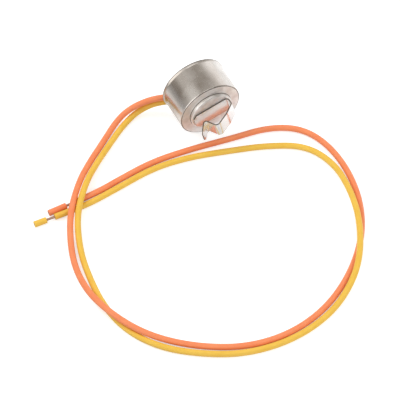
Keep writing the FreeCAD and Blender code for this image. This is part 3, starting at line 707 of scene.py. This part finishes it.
def resin():
    """Cast resin: a slightly wavy face that climbs a little at the can and the leads."""
    low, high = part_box("potting")
    radius = CAN_RADIUS - CAN_WALL
    front = (low.y - FACE_Y) / MM
    face = (high.y - FACE_Y) / MM
    roots = [Vector((LEADS[name][1][0], LEADS[name][1][2])) for name in LEADS]

    def swell(at_radius, turn, depth):
        if depth < face - TINY:
            return (0, 0)
        across = at_radius * math.cos(turn)
        up = CAN_AXIS_Z / MM + at_radius * math.sin(turn)
        height = RESIN_CLIMB * math.exp((at_radius - radius) / CLIMB_FROM_CAN)
        for root in roots:
            gap = max(0.0, (Vector((across, up)) - root).length - LEAD_RADIUS)
            height += RESIN_CLIMB * math.exp(-gap / CLIMB_FROM_LEAD)
        place = Vector((across * RESIN_WAVE_SCALE, up * RESIN_WAVE_SCALE, 0))
        height += RESIN_WAVE * noise.noise(place)
        return (0, height)

    profile = [(0, front), (radius, front), (radius, face)]
    for ring in range(1, RESIN_RINGS + 1):
        share = 1 - (ring / RESIN_RINGS)
        profile.append((radius * share ** RESIN_CROWDING if share else 0, face))
    bm = lathe(profile, RESIN_TURNS, swell)
    return new_piece("resin", bm, "resin", ["potting"], RESIN_SMOOTH_ANGLE)


def lead(colour):
    """A jacket: one smooth line through its route, with cut flat ends."""
    route, leaves, length, bare, slug = LEADS[colour]
    curve = bpy.data.curves.new("jacket_" + colour, "CURVE")
    curve.dimensions = "3D"
    spline = curve.splines.new("NURBS")
    spline.points.add(len(route) - 1)
    for point, place in zip(spline.points, route):
        point.co = (*(value * MM for value in place), 1.0)
    spline.order_u = 3
    spline.use_endpoint_u = True
    curve.resolution_u = LEAD_STEPS
    curve.bevel_depth = LEAD_RADIUS * MM
    curve.bevel_resolution = LEAD_ROUNDNESS
    curve.use_fill_caps = True
    piece = bpy.data.objects.new("jacket_" + colour, curve)
    bpy.context.scene.collection.objects.link(piece)
    finish_piece(piece, "jacket_" + colour, ["lead_" + colour])
    ends = lead_end(colour, route, bare, slug)
    return piece


def lead_end(colour, route, bare, slug):
    """The stripped end: twisted strands, and the slug of jacket left on their tip."""
    start = Vector(route[-1]) * MM
    along = (Vector(route[-1]) - Vector(route[-2])).normalized()
    turn = along.to_track_quat("Z", "Y").to_matrix().to_4x4()
    place = Matrix.Translation(start) @ turn

    length = bare + slug
    bm = bmesh.new()
    for layer_radius, count in STRAND_LAYERS:
        for number in range(count):
            tube(bm, helix(layer_radius, number / count, length), place)
    strands = new_piece(
        "strands_" + colour, bm, "tinned_strand", ["conductor_" + colour], END_SMOOTH_ANGLE)

    soft = SLUG_SOFT_EDGE
    outer = LEAD_RADIUS
    bore = STRAND_BUNDLE_RADIUS
    section = [
        Vector((bore, bare + soft * 2)), Vector((bore + soft, bare)), Vector((outer, bare)),
        Vector((outer, length)), Vector((bore + soft, length)), Vector((bore, length - soft * 2)),
    ]
    line = rounded_line(section, [soft, soft, soft, soft], SLUG_ARC_STEPS)
    line = divided(line, SLUG_LONGEST_STEP)
    bm = bmesh.new()
    rings = []
    for point in line:
        ring = []
        for step in range(SLUG_TURNS):
            angle = 2 * math.pi * step / SLUG_TURNS
            cosine, sine = math.cos(angle), math.sin(angle)
            local = Vector((point.x * cosine, point.x * sine, point.y)) * MM
            if abs(point.y - length) < SLUG_END:
                ragged = SLUG_RAGGED * noise.noise(Vector((cosine, sine, point.y))) * MM
                local.z -= abs(ragged)
            ring.append(bm.verts.new(place @ local))
        rings.append(ring)
    join_rings(bm, rings + rings[:1])
    cut_slug = new_piece(
        "slug_end_" + colour, bm, "jacket_" + colour, ["slug_" + colour], END_SMOOTH_ANGLE)
    return [strands, cut_slug]


def join_rings(bm, rings):
    """Faces between each ring of vertices and the next."""
    for lower, upper in zip(rings, rings[1:]):
        for step in range(len(lower)):
            following = (step + 1) % len(lower)
            bm.faces.new([lower[step], lower[following], upper[following], upper[step]])


def helix(radius, phase, length):
    """Points of one strand's centre line, twisted about the lead's."""
    points = []
    for step in range(STRAND_STEPS + 1):
        along = length * step / STRAND_STEPS
        angle = 2 * math.pi * (phase + along / STRAND_PITCH)
        points.append(Vector((radius * math.cos(angle), radius * math.sin(angle), along)) * MM)
    return points


def tube(bm, points, place):
    """One strand as a closed round tube along points, added to a bmesh."""
    rings = []
    for index, point in enumerate(points):
        before = points[max(index - 1, 0)]
        after = points[min(index + 1, len(points) - 1)]
        run = (after - before).normalized()
        first = run.orthogonal() if index == 0 else first - run * first.dot(run)
        first.normalize()
        second = run.cross(first)
        ring = []
        for side in range(STRAND_SIDES):
            angle = 2 * math.pi * side / STRAND_SIDES
            spoke = first * math.cos(angle) + second * math.sin(angle)
            ring.append(bm.verts.new(place @ (point + spoke * STRAND_RADIUS * MM)))
        rings.append(ring)
    join_rings(bm, rings)
    bm.faces.new(list(reversed(rings[0])))
    bm.faces.new(rings[-1])


def dress_frame():
    """Give every CAD node its slot's material, the hidden ones too."""
    for subpart in frame["record"]["subparts"]:
        node = frame["nodes"][subpart["node"]]
        node.data.materials.clear()
        node.data.materials.append(MATERIALS[subpart["material_slot"]])


def floor():
    """A pale floor that shows as white, mirrored with painted shadow close to the can's face and
    far out on the left.
    """
    material = bpy.data.materials.new("floor")
    material.use_nodes = True
    tree = material.node_tree
    nodes, links = tree.nodes, tree.links
    nodes.clear()

    def ramp(value, first, last, low, high):
        node = nodes.new("ShaderNodeMapRange")
        node.interpolation_type = "SMOOTHSTEP"
        for socket, number in zip(node.inputs[1:5], (first, last, low, high)):
            socket.default_value = number
        links.new(value, node.inputs["Value"])
        return node.outputs["Result"]

    path = nodes.new("ShaderNodeLightPath")
    by_gloss, by_glass = path.outputs["Is Glossy Ray"], path.outputs["Is Transmission Ray"]
    mirrored = calculate(tree, "MAXIMUM", by_gloss, by_glass)
    place = nodes.new("ShaderNodeTexCoord").outputs["Object"]
    distance = nodes.new("ShaderNodeVectorMath")
    distance.operation = "DISTANCE"
    distance.inputs[1].default_value = SHADE_CENTRE
    links.new(place, distance.inputs[0])
    axes = nodes.new("ShaderNodeSeparateXYZ")
    links.new(place, axes.inputs[0])
    # Painted shadow for reflected rays: darker near the can's face and far out on the left.
    near = ramp(distance.outputs["Value"], SHADE_NEAR, SHADE_FAR, SHADE_TONE, 1.0)
    left = ramp(axes.outputs["X"], LEFT_SHADE_FAR, LEFT_SHADE_NEAR, LEFT_SHADE_TONE, 1.0)
    tone = calculate(tree, "MULTIPLY", near, left)
    loss = calculate(tree, "MULTIPLY", mirrored, calculate(tree, "SUBTRACT", 1.0, tone))
    colour = calculate(tree, "MULTIPLY", calculate(tree, "SUBTRACT", 1.0, loss), FLOOR_WHITE)
    seen_glow = calculate(tree, "MULTIPLY", path.outputs["Is Camera Ray"], CAMERA_GLOW)
    mirrored_tone = calculate(tree, "MULTIPLY", mirrored, tone)
    mirrored_glow = calculate(tree, "MULTIPLY", mirrored_tone, MIRRORED_GLOW)
    strength = calculate(tree, "ADD", seen_glow, mirrored_glow)

    diffuse = nodes.new("ShaderNodeBsdfDiffuse")
    links.new(colour, diffuse.inputs["Color"])
    glow = nodes.new("ShaderNodeEmission")
    links.new(strength, glow.inputs["Strength"])
    both = nodes.new("ShaderNodeAddShader")
    links.new(diffuse.outputs[0], both.inputs[0])
    links.new(glow.outputs[0], both.inputs[1])
    output = nodes.new("ShaderNodeOutputMaterial")
    links.new(both.outputs[0], output.inputs["Surface"])

    bm = bmesh.new()
    bmesh.ops.create_grid(bm, x_segments=1, y_segments=1, size=FLOOR_HALF)
    mesh = bpy.data.meshes.new("floor")
    bm.to_mesh(mesh)
    bm.free()
    piece = bpy.data.objects.new("floor", mesh)
    mesh.materials.append(material)
    bpy.context.scene.collection.objects.link(piece)


def world():
    """White for the camera, plain soft light for surfaces, a graded room for reflections."""
    room = bpy.data.worlds.new("room")
    bpy.context.scene.world = room
    room.use_nodes = True
    nodes = room.node_tree.nodes
    links = room.node_tree.links
    nodes.clear()
    output = nodes.new("ShaderNodeOutputWorld")
    path = nodes.new("ShaderNodeLightPath")
    coordinates = nodes.new("ShaderNodeTexCoord")

    def lobe(direction, first, last):
        """1 in a direction and 0 away from it."""
        dot = nodes.new("ShaderNodeVectorMath")
        dot.operation = "DOT_PRODUCT"
        dot.inputs[1].default_value = Vector(direction).normalized()
        links.new(coordinates.outputs["Generated"], dot.inputs[0])
        ranged = nodes.new("ShaderNodeMapRange")
        ranged.interpolation_type = "SMOOTHSTEP"
        ranged.inputs["From Min"].default_value = first
        ranged.inputs["From Max"].default_value = last
        links.new(dot.outputs["Value"], ranged.inputs["Value"])
        return ranged.outputs["Result"]

    def mixed(factor, first, second):
        mix = nodes.new("ShaderNodeMix")
        mix.data_type = "RGBA"
        links.new(factor, mix.inputs["Factor"])
        # The node's colour inputs are its sockets 6 and 7, and its colour result is 2.
        for socket, value in ((mix.inputs[6], first), (mix.inputs[7], second)):
            if isinstance(value, tuple):
                socket.default_value = (*value, 1)
            else:
                links.new(value, socket)
        return mix.outputs[2]

    shade = ROOM_WALL
    for direction, first, last, colour in ROOM_LOBES:
        shade = mixed(lobe(direction, first, last), shade, colour)
    glossy = nodes.new("ShaderNodeBackground")
    links.new(shade, glossy.inputs["Color"])
    plain = nodes.new("ShaderNodeBackground")
    plain.inputs["Color"].default_value = (1, 1, 1, 1)
    plain.inputs["Strength"].default_value = ROOM_LIGHT
    white = nodes.new("ShaderNodeBackground")
    white.inputs["Color"].default_value = (1, 1, 1, 1)
    for_glossy = nodes.new("ShaderNodeMixShader")
    links.new(path.outputs["Is Glossy Ray"], for_glossy.inputs["Fac"])
    links.new(plain.outputs[0], for_glossy.inputs[1])
    links.new(glossy.outputs[0], for_glossy.inputs[2])
    for_camera = nodes.new("ShaderNodeMixShader")
    links.new(path.outputs["Is Camera Ray"], for_camera.inputs["Fac"])
    links.new(for_glossy.outputs[0], for_camera.inputs[1])
    links.new(white.outputs[0], for_camera.inputs[2])
    links.new(for_camera.outputs[0], output.inputs["Surface"])


def softbox(name):
    """A large soft lamp that no surface mirrors."""
    place, power = LIGHTS[name]
    light = bpy.data.lights.new(name, "AREA")
    light.shape = "SQUARE"
    light.size = LIGHT_SIZE
    light.energy = power
    lamp = bpy.data.objects.new(name, light)
    bpy.context.scene.collection.objects.link(lamp)
    lamp.location = place
    lamp.visible_glossy = False
    aim = Vector(LIGHT_AIM) - Vector(place)
    lamp.rotation_euler = aim.to_track_quat("-Z", "Y").to_euler()


def camera():
    """The camera, looking at its target from its azimuth, elevation and distance."""
    azimuth = math.radians(CAMERA_AZIMUTH)
    elevation = math.radians(CAMERA_ELEVATION)
    back = Vector((
        math.sin(azimuth) * math.cos(elevation),
        -math.cos(azimuth) * math.cos(elevation),
        math.sin(elevation),
    ))
    data = bpy.data.cameras.new("camera")
    data.lens = CAMERA_LENS
    data.sensor_width = CAMERA_SENSOR
    data.clip_start = CAMERA_NEAREST
    eye = bpy.data.objects.new("camera", data)
    bpy.context.scene.collection.objects.link(eye)
    eye.location = Vector(CAMERA_TARGET) + back * CAMERA_DISTANCE
    eye.rotation_euler = back.to_track_quat("Z", "Y").to_euler()
    bpy.context.scene.camera = eye


camera()
for colour in LEADS:
    lead(colour)
dress_frame()
can()
clip()
resin()
floor()
world()
for name in LIGHTS:
    softbox(name)
bpy.context.scene.view_settings.view_transform = "Standard"
